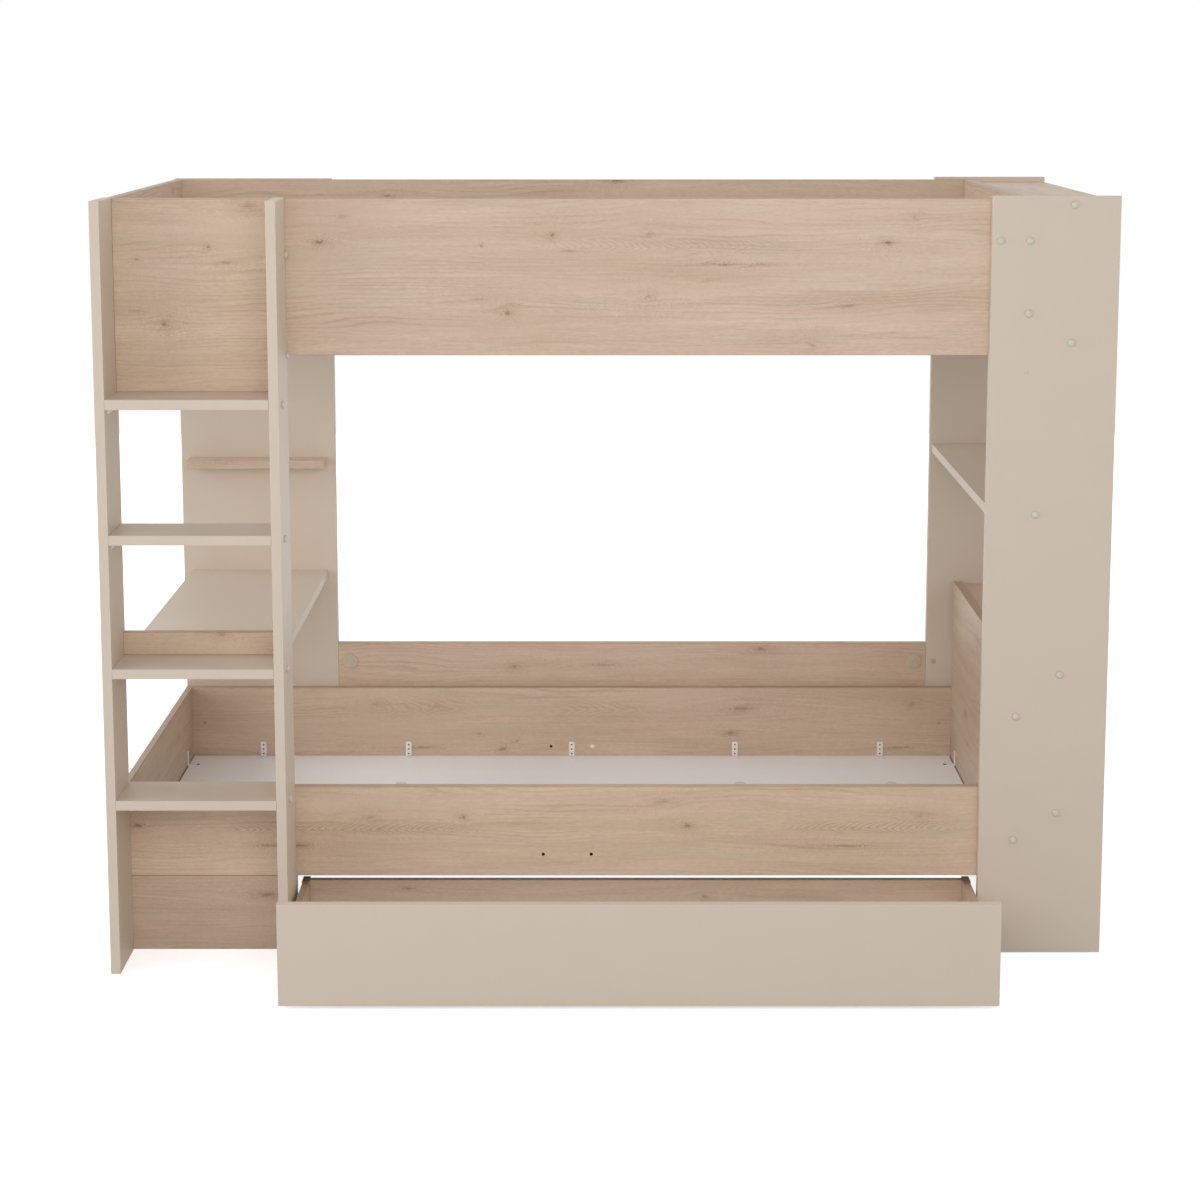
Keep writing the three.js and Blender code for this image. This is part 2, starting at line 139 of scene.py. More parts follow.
class BunkBedStudio(bpy.types.PropertyGroup):
    """Floor and light."""

    floor_side: length("Floor side", "Side of the square floor", 16.0)
    floor: colour("Floor", "Colour of the floor", 200, 200, 200)
    floor_lift: bpy.props.FloatProperty(
        name="Floor lift", description="White that the camera sees added to the floor",
        min=0, max=1, default=0.55)
    # Painted light: under the bed the camera sees more white added than round it, which pales the bed's
    # shadow there
    floor_painted_light_under: bpy.props.FloatProperty(
        name="Floor lift, under", description="White that the camera sees added under the bed",
        min=0, max=1, default=0.82)
    floor_seen: colour("Floor, seen", "Colour that the camera sees the floor in", 246, 246, 246)
    dome: bpy.props.FloatProperty(
        name="Dome", description="Strength of the even light from all round", min=0, default=0.52)
    front_lamp: power("Front lamp", "Wide soft lamp in front", 42)
    right_lamp: power("Right lamp", "Large soft lamp in front on the right", 15)
    left_lamp: power("Left lamp", "Soft lamp in front of the ladder's corner", 38)
    ladder_side_lamp: power("Ladder side lamp", "Large soft lamp at the ladder's end of the bed", 85)
    tower_side_lamp: power("Tower side lamp", "Large soft lamp at the tower's end of the bed", 45)


# Figure of the oak print: cells per metre along, across and through the board, and shares
WANDER_STRETCH = (1.3, 5, 5)
BAND_STRETCH = (1.1, 13, 13)
LINE_DRIFT_STRETCH = (1.6, 12, 12)
LINE_SHOWN_STRETCH = (1.7, 21, 21)
FIBRE_STRETCH = (4.5, 210, 210)
FLECK_STRETCH = (70, 330, 330)
PORE_STRETCH = (30, 520, 520)
TINT_STRETCH = (1.6, 17, 17)
KNOT_EDGE_STRETCH = (190, 430, 430)
GROWTH_LINES = 95.0
LINE_DRIFT = 9.0
GRAIN_WANDER = 0.05
KNOT_RINGS = 0.55
KNOT_PUSH = -0.6
ARCH_SWEEP = 2.2
LOWER_ARM_SHARE = 1.6
LINE_SHARE = 0.28
FIBRE_SHARE = 0.42
FLECK_SHARE = 0.42
PORE_SHARE = 0.18
TINT_SHARE = 0.4
# Painted shade along the upper and lower edges of upright oak boards: its share, and how far it reaches into
# the broad face
EDGE_SHADE_SHARE = 0.5
EDGE_SHADE_REACH = (0.0008, 0.002)
RING_SHARE = 0.3
HALO_SHARE = 0.28

# Shader graphs

MIX_FACTOR, MIX_FIRST, MIX_SECOND, MIX_RESULT = 0, 6, 7, 2


class Graph:
    """Adds shader nodes to one tree and links them; a value is a socket or a constant."""

    def __init__(self, tree):
        self.tree = tree

    def node(self, kind, **settings):
        made = self.tree.nodes.new(kind)
        for name, value in settings.items():
            setattr(made, name, value)
        return made

    def feed(self, socket, value):
        if isinstance(value, bpy.types.NodeSocket):
            self.tree.links.new(value, socket)
        else:
            socket.default_value = value

    def feed_all(self, made, values):
        for socket, value in zip(made.inputs, values):
            self.feed(socket, value)
        return made

    def math(self, operation, *values):
        return self.feed_all(self.node("ShaderNodeMath", operation=operation), values).outputs[0]

    def vector(self, operation, *values):
        made = self.feed_all(self.node("ShaderNodeVectorMath", operation=operation), values)
        return made.outputs["Value" if operation in ("DOT_PRODUCT", "LENGTH") else "Vector"]

    def combine(self, *values):
        return self.feed_all(self.node("ShaderNodeCombineXYZ"), values).outputs[0]

    def separate(self, place):
        return self.feed_all(self.node("ShaderNodeSeparateXYZ"), [place]).outputs

    def noise(self, place, stretch, detail=2.0, roughness=0.5):
        """Noise whose cells are 1 / stretch metres long, wide and deep."""
        made = self.node("ShaderNodeTexNoise")
        self.feed(made.inputs["Vector"], self.vector("MULTIPLY", place, stretch))
        made.inputs["Scale"].default_value = 1
        made.inputs["Detail"].default_value = detail
        made.inputs["Roughness"].default_value = roughness
        return made.outputs[0]

    def span(self, value, low, high, to_low=0.0, to_high=1.0):
        """A smooth step from to_low to to_high while value goes from low to high."""
        made = self.node("ShaderNodeMapRange", interpolation_type="SMOOTHSTEP")
        return self.feed_all(made, (value, low, high, to_low, to_high)).outputs[0]

    def mix(self, amount, first, second):
        made = self.node("ShaderNodeMix", data_type="RGBA")
        self.feed(made.inputs[MIX_FACTOR], amount)
        self.feed(made.inputs[MIX_FIRST], first)
        self.feed(made.inputs[MIX_SECOND], second)
        return made.outputs[MIX_RESULT]

    def add_share(self, total, value, share):
        """The total with a share of the value added."""
        return self.math("MULTIPLY_ADD", value, share, total)

    def group(self, tree, values):
        made = self.node("ShaderNodeGroup", node_tree=tree)
        for name, value in values.items():
            self.feed(made.inputs[name], value)
        return made.outputs


def shader_group(name, takes, gives):
    """An empty node group with its sockets, and the graph, inputs and output node in it."""
    tree = bpy.data.node_groups.new(name, "ShaderNodeTree")
    for label, kind in takes:
        tree.interface.new_socket(name=label, in_out="INPUT", socket_type="NodeSocket" + kind)
    for label, kind in gives:
        tree.interface.new_socket(name=label, in_out="OUTPUT", socket_type="NodeSocket" + kind)
    graph = Graph(tree)
    return tree, graph, graph.node("NodeGroupInput").outputs, graph.node("NodeGroupOutput").inputs


def knot_group():
    """A knot in the grain.

    With d the distance from the knot's middle, counted in its own half length and half height,
    the core is exp(-d * d) and the halo the same bell three times as large; a noise makes d uneven.
    Rings follow sin(2 pi * KNOT_RINGS * d) inside a bell four times as large, and the grain round
    the knot is pushed away from its middle by a bell six times as large.
    """
    tree, graph, taken, given = shader_group(
        "Knot",
        [("Place", "Vector"), ("Middle", "Vector"), ("Reach", "Float"), ("Length", "Float")],
        [("Core", "Float"), ("Halo", "Float"), ("Ring", "Float"), ("Push", "Float")])
    away = graph.vector("SUBTRACT", taken["Place"], taken["Middle"])
    inverse = graph.math("DIVIDE", 1.0, taken["Reach"])
    stretch = graph.combine(graph.math("DIVIDE", inverse, taken["Length"]), inverse, 0.0)
    steps = graph.vector("MULTIPLY", away, stretch)
    wobble = graph.noise(taken["Place"], KNOT_EDGE_STRETCH, 2.0)
    square = graph.math("MULTIPLY", graph.vector("DOT_PRODUCT", steps, steps),
                        graph.span(wobble, 0.34, 0.68, 0.25, 2.6))
    bell = graph.math("POWER", 1 / math.e, square)
    turns = graph.math("MULTIPLY", graph.math("SQRT", square), KNOT_RINGS * math.tau)
    ring = graph.math("MULTIPLY", graph.span(graph.math("SINE", turns), -0.2, 1.0),
                      graph.math("POWER", bell, 1 / 16))
    push = graph.math("MULTIPLY", graph.math("MULTIPLY", graph.separate(away)[1],
                                             graph.math("POWER", bell, 1 / 36)), KNOT_PUSH)
    graph.feed(given["Core"], bell)
    graph.feed(given["Halo"], graph.math("POWER", bell, 1 / 9))
    graph.feed(given["Ring"], ring)
    graph.feed(given["Push"], push)
    return tree


def arch_group():
    """A row of nested arches, as a board cut close to the middle of the log shows.

    Along the board an arch comes every Pitch, a negative one turning the arches round. Each arm
    sweeps back by ARCH_SWEEP pitches, as the 1.4th power of its distance from the middle line, and
    below that line the distance counts LOWER_ARM_SHARE times. A flat-topped bell over the row's
    length and height fades them out.
    """
    tree, graph, taken, given = shader_group(
        "Grain arches",
        [("Place", "Vector"), ("Middle", "Vector"), ("Length", "Float"), ("Height", "Float"),
         ("Pitch", "Float")],
        [("Line", "Float")])
    away = graph.separate(graph.vector("SUBTRACT", taken["Place"], taken["Middle"]))
    along = graph.math("ABSOLUTE", graph.math("DIVIDE", away[0], taken["Length"]))
    lean = graph.math("MULTIPLY", graph.math(
        "SUBTRACT", graph.noise(taken["Place"], (14, 4, 4), 1.0), 0.5), 0.7)
    rise = graph.math("ADD", graph.math("DIVIDE", away[1], taken["Height"]), lean)
    across = graph.math("MAXIMUM", rise, graph.math("MULTIPLY", rise, -LOWER_ARM_SHARE))
    bend = graph.math("MULTIPLY", graph.math("POWER", across, 1.4), ARCH_SWEEP)
    ripple = graph.math("MULTIPLY", graph.noise(taken["Place"], (24, 40, 40), 2.0), 2.2)
    turns = graph.math("ADD", graph.math("DIVIDE", away[0], taken["Pitch"]),
                       graph.math("ADD", bend, ripple))
    wave = graph.math("SINE", graph.math("MULTIPLY", turns, math.tau))
    fade = graph.math("POWER", 1 / math.e, graph.math(
        "ADD", graph.math("POWER", along, 6.0), graph.math("POWER", across, 4.0)))
    graph.feed(given["Line"], graph.math("MULTIPLY", graph.span(wave, -0.4, 1.0), fade))
    return tree


def oak_group():
    """Oak print: bands, growth lines with one sharp edge, fibres, flecks, pores and tinted patches.

    The grain wanders by a slow noise. Bands, fibres, flecks, pores and tint are noises longer than
    wide. A growth line comes about every 1 / GROWTH_LINES of a metre: the share of the way to the
    next one, cut to its last part and dropped sharply at its end.
    """
    tree, graph, taken, given = shader_group(
        "Oak print",
        [("Place", "Vector")],
        [("Band", "Float"), ("Line", "Float"), ("Fibre", "Float"), ("Fleck", "Float"),
         ("Pore", "Float"), ("Tint", "Float")])
    slow = graph.math("SUBTRACT", graph.noise(taken["Place"], WANDER_STRETCH, 1.0), 0.5)
    wander = graph.combine(0.0, graph.math("MULTIPLY", slow, GRAIN_WANDER), 0.0)
    place = graph.vector("ADD", taken["Place"], wander)
    count = graph.math(
        "ADD", graph.math("MULTIPLY", graph.separate(place)[1], GROWTH_LINES),
        graph.math("MULTIPLY", graph.noise(place, LINE_DRIFT_STRETCH, 2.0), LINE_DRIFT))
    way = graph.math("FRACT", count)
    rising = graph.span(way, 0.45, 0.93)
    edge = graph.span(way, 0.93, 1.0, 1.0, 0.0)
    shown = graph.span(graph.noise(place, LINE_SHOWN_STRETCH, 2.0), 0.38, 0.66)
    line = graph.math("MULTIPLY", graph.math("MULTIPLY", rising, edge), shown)
    graph.feed(given["Band"], graph.noise(place, BAND_STRETCH, 4.0, 0.8))
    graph.feed(given["Line"], line)
    graph.feed(given["Fibre"], graph.noise(place, FIBRE_STRETCH, 4.0, 0.75))
    graph.feed(given["Pore"], graph.span(graph.noise(place, PORE_STRETCH, 1.0), 0.6, 0.72))
    graph.feed(given["Fleck"], graph.noise(place, FLECK_STRETCH, 2.0))
    graph.feed(given["Tint"], graph.noise(place, TINT_STRETCH, 3.0))
    return tree


def coat_group():
    """The coating's own surface: a very fine grain, and a faint unevenness a hand wide."""
    tree, graph, taken, given = shader_group(
        "Coated surface",
        [("Place", "Vector")],
        [("Grain", "Float"), ("Cloud", "Float")])
    graph.feed(given["Grain"], graph.noise(taken["Place"], (1400, 1400, 1400), 2.0))
    graph.feed(given["Cloud"], graph.noise(taken["Place"], (9, 9, 9), 3.0))
    return tree


GROUPS = {}


def make_groups():
    GROUPS.update(knot=knot_group(), arch=arch_group(), oak=oak_group(), coat=coat_group())


def new_material(name, roughness, metallic=0.0):
    """A material with a Principled surface; gives the material, its graph, surface and place."""
    made = bpy.data.materials.new(name)
    made.use_nodes = True
    graph = Graph(made.node_tree)
    surface = made.node_tree.nodes["Principled BSDF"]
    surface.inputs["Roughness"].default_value = roughness
    surface.inputs["Metallic"].default_value = metallic
    place = graph.node("ShaderNodeTexCoord").outputs["Object"]
    return made, graph, surface, place


def add_bump(graph, surface, height, distance):
    bump = graph.node("ShaderNodeBump")
    bump.inputs["Distance"].default_value = distance
    graph.feed(bump.inputs["Height"], height)
    graph.feed(surface.inputs["Normal"], bump.outputs[0])


def plain_coating(name, base, cloud_share, roughness):
    """A one-coloured coating: faint clouds in the colour and gloss, and a fine grained surface."""
    made, graph, surface, place = new_material(name, roughness)
    coat = graph.group(GROUPS["coat"], {"Place": place})
    darker = tuple(value * (1 - cloud_share) for value in base[:3]) + (1.0,)
    paler = tuple(min(value * (1 + cloud_share), 1) for value in base[:3]) + (1.0,)
    graph.feed(surface.inputs["Base Color"],
               graph.mix(graph.span(coat["Cloud"], 0.3, 0.7), darker, paler))
    graph.feed(surface.inputs["Roughness"],
               graph.span(coat["Grain"], 0.2, 0.8, roughness - 0.05, roughness + 0.05))
    add_bump(graph, surface, coat["Grain"], 0.00004)
    return made, graph, surface


def oak_coating(node, finishes, order, shift, knots=(), arches=(), depth=1.0):
    """Oak print for one board, its grain along the first axis named in order, its tones times depth, which
    is painted light and shade over the whole board.

    Each knot is (along, across, reach, length as a share of its height, depth of colour); each
    row of arches is (along, across, length, height, pitch, depth of colour). On an upright board
    the faces of its upper and lower edge, and a strip beside each that fades out within 2 mm of the
    broad face's edge, are darkened towards the line colour: painted shade for the shadow lines at
    those edges and seams.
    """
    made, graph, surface, place = new_material(f"oak_{node}", 0.5)
    axes = graph.separate(place)
    place = graph.combine(*(axes["XYZ".index(letter)] for letter in order))
    inside = graph.math("MINIMUM", graph.math("SUBTRACT", axes[2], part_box(node)[0].z),
                        graph.math("SUBTRACT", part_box(node)[1].z, axes[2]))
    cores = []
    line = 0.0
    pushed = 0.0
    for along, across, reach, stretch, strength in knots:
        knot = graph.group(GROUPS["knot"], {
            "Place": place, "Middle": (along, across, 0), "Reach": reach, "Length": stretch})
        cores.append(graph.math("MULTIPLY", knot["Core"], strength))
        line = graph.add_share(line, knot["Halo"], HALO_SHARE * strength)
        line = graph.add_share(line, knot["Ring"], RING_SHARE * strength)
        pushed = graph.add_share(pushed, knot["Push"], 1.0)
    for along, across, half_length, half_height, pitch, strength in arches:
        arch = graph.group(GROUPS["arch"], {
            "Place": place, "Middle": (along, across, 0), "Length": half_length,
            "Height": half_height, "Pitch": pitch})
        line = graph.add_share(line, arch["Line"], strength)
    print_place = graph.vector("ADD", graph.vector("ADD", place, shift),
                               graph.combine(0.0, pushed, 0.0))
    oak = graph.group(GROUPS["oak"], {"Place": print_place})
    fibre = graph.math("MULTIPLY", graph.math("SUBTRACT", oak["Fibre"], 0.5), FIBRE_SHARE)
    fleck = graph.math("MULTIPLY", graph.math("SUBTRACT", oak["Fleck"], 0.5), FLECK_SHARE)
    band = graph.math("SUBTRACT", graph.math("SUBTRACT", oak["Band"], fibre), fleck)
    tone = graph.mix(graph.span(band, 0.17, 0.83), *(
        tuple(value * depth for value in base[:3]) + (1.0,)
        for base in (finishes.oak_deep, finishes.oak_pale)))
    tone = graph.mix(graph.span(oak["Tint"], 0.5, 0.7, 0.0, TINT_SHARE), tone, finishes.oak_green)
    tone = graph.mix(graph.span(oak["Tint"], 0.3, 0.5, TINT_SHARE, 0.0), tone, finishes.oak_pink)
    line = graph.add_share(line, oak["Line"], LINE_SHARE)
    line = graph.add_share(line, oak["Pore"], PORE_SHARE)
    tone = graph.mix(graph.math("MINIMUM", line, 0.85), tone, finishes.oak_line)
    # Painted shade: darken the upper and lower edges of an upright board and a thin strip beside them
    if order[1] == "Z":
        tone = graph.mix(graph.span(inside, *EDGE_SHADE_REACH, EDGE_SHADE_SHARE, 0.0), tone, finishes.oak_line)
    for core in cores:
        tone = graph.mix(core, tone, finishes.oak_knot)
    graph.feed(surface.inputs["Base Color"], tone)
    graph.feed(surface.inputs["Roughness"], graph.span(oak["Line"], 0.0, 1.0, 0.46, 0.56))
    add_bump(graph, surface, graph.math("SUBTRACT", 1.0, oak["Line"]), 0.00008)
    return made


# Knots and arches that the photographed faces show: places in metres along and up the board
SHOWN_KNOTS = {
    "upper_front_guard": [
        (-0.646, 1.627, 0.0045, 2.2, 0.8), (-0.131, 1.643, 0.004, 1.3, 0.7),
        (-0.230, 1.471, 0.0065, 1.1, 0.6), (-0.595, 1.684, 0.006, 1.6, 0.25),
        (-0.288, 1.619, 0.0022, 1.5, 0.5), (-0.093, 1.608, 0.0022, 6.0, 0.45),
        (-0.295, 1.501, 0.003, 5.0, 0.25), (0.612, 1.626, 0.0042, 2.2, 0.8),
        (0.251, 1.577, 0.0038, 2.0, 0.5), (0.256, 1.578, 0.0022, 26.0, 0.4),
        (0.083, 1.645, 0.006, 1.5, 0.3), (0.083, 1.507, 0.005, 2.0, 0.35),
        (0.526, 1.486, 0.0022, 3.5, 0.6), (0.448, 1.398, 0.005, 1.3, 0.4),
        (0.669, 1.681, 0.004, 1.5, 0.3)],
    "ladder_top_panel": [
        (-0.888, 1.618, 0.0035, 1.3, 0.65), (-0.988, 1.448, 0.007, 1.1, 0.6),
        (-0.940, 1.449, 0.002, 2.0, 0.3), (-0.797, 1.710, 0.010, 2.0, 0.3),
        (-1.046, 1.591, 0.003, 2.0, 0.35), (-0.847, 1.583, 0.003, 5.0, 0.4),
        (-1.048, 1.477, 0.003, 4.0, 0.3)],
    "lower_front_board": [
        (-1.082, 0.294, 0.0045, 2.6, 0.75),
        (-0.776, 0.247, 0.003, 9.0, 0.45), (-0.715, 0.247, 0.003, 6.0, 0.55),
        (-0.337, 0.314, 0.004, 1.6, 0.6), (-0.549, 0.314, 0.006, 2.2, 0.3),
        (0.175, 0.294, 0.004, 2.0, 0.7), (0.124, 0.351, 0.004, 2.5, 0.3),
        (0.537, 0.246, 0.0028, 15.0, 0.5), (0.706, 0.317, 0.006, 1.8, 0.3)],
    "ladder_plinth": [(-0.790, 0.130, 0.006, 3.5, 0.6)],
    "lower_back_board": [
        (0.322, 0.262, 0.0055, 2.6, 0.55), (0.349, 0.329, 0.004, 7.0, 0.45),
        (0.772, 0.223, 0.0028, 11.0, 0.5), (0.802, 0.341, 0.007, 1.4, 0.3),
        (-0.283, 0.219, 0.0055, 1.8, 0.6), (-0.245, 0.242, 0.0025, 2.0, 0.5),
        (-0.345, 0.260, 0.0025, 2.5, 0.4), (-0.495, 0.223, 0.0025, 11.0, 0.5),
        (-0.460, 0.336, 0.007, 1.4, 0.25), (-0.616, 0.342, 0.006, 1.6, 0.25)],
    "lower_right_end": [
        (0.375, 0.383, 0.0065, 2.6, 0.75), (0.331, 0.315, 0.003, 11.0, 0.6),
        (0.189, 0.615, 0.003, 11.0, 0.55)],
    "lower_back_guard": [
        (0.401, 0.485, 0.005, 2.6, 0.55), (-0.012, 0.442, 0.003, 11.0, 0.4),
        (-0.252, 0.438, 0.005, 2.0, 0.5)],
}
SHOWN_ARCHES = {
    "upper_front_guard": [
        (0.12, 1.617, 0.27, 0.021, 0.018, 0.18), (0.47, 1.487, 0.10, 0.018, -0.024, 0.15)],
    "lower_front_board": [
        (-0.55, 0.284, 0.20, 0.018, -0.019, 0.36), (0.608, 0.286, 0.20, 0.018, -0.018, 0.36),
        (-0.820, 0.284, 0.05, 0.018, 0.018, 0.36)],
    "lower_back_board": [
        (-0.50, 0.327, 0.13, 0.030, 0.034, 0.24), (-0.03, 0.322, 0.12, 0.028, 0.030, 0.22)],
}

# Painted light and shade on whole oak boards: a factor on the tones of each listed board, below 1 for boards
# that lie in shade and above 1 for the lit lower front board
OAK_LIGHT_AND_SHADE = {"lower_right_end": 0.79, "lower_left_end": 0.82, "lower_front_board": 1.07,
              "ladder_plinth": 0.94, "drawer_back": 0.95}

# Which way the grain of each oak board runs, and which axis crosses its broad face
GRAIN_ORDERS = {
    "XZY": ["ladder_top_panel", "ladder_plinth", "desk_stop_strip", "upper_front_guard",
            "upper_back_board", "lower_front_board", "lower_back_board", "lower_back_guard",
            "drawer_back"],
    "XYZ": ["pen_shelf"],
    "YZX": ["upper_left_end", "upper_right_end", "lower_left_end", "lower_right_end",
            "drawer_left_side", "drawer_right_side"],
    "YXZ": ["tower_top_shelf", "tower_upper_shelf", "tower_lower_shelf", "tower_bottom_shelf"],
}
BOARD_SHIFT = (1.37, 0.43, 0.0)

# Knots on boards that the photograph hides: area for each, and the ranges that they are drawn from
KNOT_AREA = 0.075
KNOT_REACH = (0.0025, 0.0055)
KNOT_STRETCH = (1.2, 4.0)
KNOT_DEPTH = (0.3, 0.65)

BEIGE_NODES = ["left_stile", "right_stile", "rung_1", "rung_2", "left_back_panel", "desk_top",
               "tower_front_panel", "tower_back_panel", "tower_middle_shelf", "drawer_front"]
ANGLED_RUNGS = ["rung_3", "rung_4"]
BOARD_THICKNESS = 0.022
WHITE_NODES = [name for name in NODES if "_base_front" in name or "_base_back" in name or "_rail_" in name]
WHITE_NODES.append("drawer_bottom")


def put_on(names, material):
    for name in names:
        data = NODES[name].data
        data.materials.clear()
        data.materials.append(material)


def drawn_knots(draw, node, order):
    """Knots for a board that the photograph hides: one to each KNOT_AREA of its broad face."""
    low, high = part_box(node)
    along, across = ("XYZ".index(letter) for letter in order[:2])
    count = int(round((high[along] - low[along]) * (high[across] - low[across]) / KNOT_AREA)) or 1
    return [
        (draw.uniform(low[along], high[along]), draw.uniform(low[across], high[across]),
         draw.uniform(*KNOT_REACH), draw.uniform(*KNOT_STRETCH), draw.uniform(*KNOT_DEPTH))
        for _ in range(count)]


BEIGE_COAT = {"cloud_share": 0.006, "roughness": 0.5}
WHITE_COAT = {"cloud_share": 0.005, "roughness": 0.38}
ZINC_METALLIC = 0.1
ZINC_GLOSS = 0.15


class BUNKBED_OT_boards(bpy.types.Operator):
    """Coat every board: beige, white or oak print"""

    bl_idname = "bunk_bed.boards"
    bl_label = "Coat the boards"

    def execute(self, context):
        finishes = context.scene.bunk_bed_finishes
        make_groups()
        put_on(BEIGE_NODES, plain_coating("beige_coating", finishes.beige, **BEIGE_COAT)[0])
        put_on(WHITE_NODES, plain_coating("white_coating", finishes.white, **WHITE_COAT)[0])
        for name in ANGLED_RUNGS:
            put_on([name], self.rung_coating(name, finishes))
        draw = np.random.default_rng(7)
        index = 0
        for order, names in GRAIN_ORDERS.items():
            for name in names:
                knots = SHOWN_KNOTS.get(name) or drawn_knots(draw, name, order)
                shift = tuple(step * index for step in BOARD_SHIFT)
                # The last value paints light and shade over the whole board
                put_on([name], oak_coating(
                    name, finishes, order, shift, knots, SHOWN_ARCHES.get(name, ()),
                    OAK_LIGHT_AND_SHADE.get(name, 1.0)))
                index += 1
        return {"FINISHED"}

    def rung_coating(self, name, finishes):
        """Beige, but zinc below the board's underside, where the rung's angles hang."""
        made, graph, surface = plain_coating(f"beige_{name}", finishes.beige, **BEIGE_COAT)
        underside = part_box(name)[1].z - BOARD_THICKNESS
        height = graph.separate(graph.node("ShaderNodeTexCoord").outputs["Object"])[2]
        steel = graph.math("LESS_THAN", height, underside - 0.0001)
        colour_link = surface.inputs["Base Color"].links[0].from_socket
        gloss_link = surface.inputs["Roughness"].links[0].from_socket
        graph.feed(surface.inputs["Base Color"], graph.mix(steel, colour_link, finishes.zinc))
        graph.feed(surface.inputs["Metallic"], graph.math("MULTIPLY", steel, ZINC_METALLIC))
        graph.feed(surface.inputs["Roughness"], graph.math(
            "SUBTRACT", gloss_link, graph.math("MULTIPLY", steel, ZINC_GLOSS)))
        return made


def zinc_plate(finishes):
    """Bright zinc: a spangle a few millimetres wide in tone and gloss, and fine rolling lines."""
    made, graph, surface, place = new_material("zinc_plate", 0.35, ZINC_METALLIC)
    spangle = graph.noise(place, (420, 420, 420), 2.0)
    rolled = graph.noise(place, (60, 1500, 1500), 1.0)
    darker = tuple(value * 0.86 for value in finishes.zinc[:3]) + (1.0,)
    graph.feed(surface.inputs["Base Color"], graph.mix(graph.span(spangle, 0.3, 0.7), darker, finishes.zinc))
    graph.feed(surface.inputs["Roughness"], graph.span(spangle, 0.2, 0.8, 0.3, 0.46))
    add_bump(graph, surface, rolled, 0.00003)
    return made


def moulded_plastic(name, base, roughness, gloss=0.5):
    """Moulded plastic: slight flow clouds and a fine eroded texture."""
    made, graph, surface, place = new_material(name, roughness)
    surface.inputs["Specular IOR Level"].default_value = gloss
    cloud = graph.noise(place, (70, 70, 70), 2.0)
    texture = graph.noise(place, (2600, 2600, 2600), 2.0)
    darker = tuple(value * 0.93 for value in base[:3]) + (1.0,)
    graph.feed(surface.inputs["Base Color"], graph.mix(graph.span(cloud, 0.3, 0.7), darker, base))
    graph.feed(surface.inputs["Roughness"],
               graph.span(texture, 0.2, 0.8, roughness - 0.06, roughness + 0.06))
    add_bump(graph, surface, texture, 0.00003)
    return made


class BUNKBED_OT_metalwork(bpy.types.Operator):
    """Finish the brackets, forks, wheels and stop pads"""

    bl_idname = "bunk_bed.metalwork"
    bl_label = "Finish the metalwork"

    def execute(self, context):
        finishes = context.scene.bunk_bed_finishes
        zinc = zinc_plate(finishes)
        put_on([name for name in NODES if "bracket" in name or "fork" in name], zinc)
        put_on([name for name in NODES if "wheel" in name],
               moulded_plastic("wheel_tread", finishes.wheel, 0.5))
        put_on([name for name in NODES if "stop_pad" in name],
               moulded_plastic("stop_pad", finishes.pad, 0.6))
        return {"FINISHED"}


# Fittings

SMOOTH_UNDER = math.radians(40)


def turned(profile, steps=24):
    """A profile turned about Z, with both its ends on the axis.

    Point (i, j) is (r_i cos a_j, r_i sin a_j, h_i) with a_j = 2 pi j / steps; fans close the poles.
    """
    radius, height = np.asarray(profile, float)[1:-1].T
    angle = np.arange(steps) * math.tau / steps
    rings = np.stack([
        np.outer(radius, np.cos(angle)), np.outer(radius, np.sin(angle)),
        np.repeat(height[:, None], steps, axis=1)], axis=-1).reshape(-1, 3)
    points = np.concatenate([[(0, 0, profile[0][1])], rings, [(0, 0, profile[-1][1])]])
    here = 1 + np.arange(steps)
    after = 1 + (np.arange(steps) + 1) % steps
    faces = [(0, b, a) for a, b in zip(here, after)]
    for ring in range(len(radius) - 1):
        low = ring * steps
        faces += [(a + low, b + low, b + low + steps, a + low + steps) for a, b in zip(here, after)]
    top = (len(radius) - 1) * steps
    faces += [(len(points) - 1, a + top, b + top) for a, b in zip(here, after)]
    return points, faces


def dome_profile(diameter, rise, neck_share=0.84, lip_share=0.22, arcs=8):
    """Half of a dome: a short neck that leaves a thin shadow, then a quarter ellipse to the top."""
    radius = diameter / 2
    neck = radius * neck_share
    lip = rise * lip_share
    angle = np.linspace(0, math.pi / 2, arcs + 1)[:-1]
    arc = [(radius * math.cos(a), lip + (rise - lip) * math.sin(a)) for a in angle]
    return [(0, 0), (neck, 0), (neck, lip), *arc, (0, rise)]


def disc_profile(diameter, rise, edge_share=0.35, arcs=4):
    """Half of a flat disc whose upper edge is rounded by a quarter circle."""
    radius = diameter / 2
    edge = rise * edge_share
    angle = np.linspace(0, math.pi / 2, arcs + 1)
    arc = [(radius - edge + edge * math.cos(a), rise - edge + edge * math.sin(a)) for a in angle]
    return [(0, 0), (radius, 0), *arc, (0, rise)]


def screw_profile(diameter, rise, recess_share=0.34, depth_share=1.1):
    """Half of a countersunk head with a cone-shaped drive recess in its middle."""
    radius = diameter / 2
    drive = radius * recess_share
    return [(0, -rise), (radius, -rise), (radius, rise * 0.4), (radius * 0.86, rise),
            (drive, rise), (drive * 0.5, rise - rise * depth_share), (0, rise - rise * depth_share)]


def joined(shapes):
    """The points and faces of all the shapes as one set."""
    first = 0
    rows = []
    for points, faces in shapes:
        rows += [tuple(int(i) + first for i in face) for face in faces]
        first += len(points)
    return np.concatenate([points for points, faces in shapes]), rows


def set_out(shape, places, turns=FACING):
    """The shape set at each place of [(x, y, z), name of a turn], as one set of points and faces."""
    points, faces = shape
    return joined([(points @ np.array(turns[turn], float) + np.array(place), faces)
                   for place, turn in places])


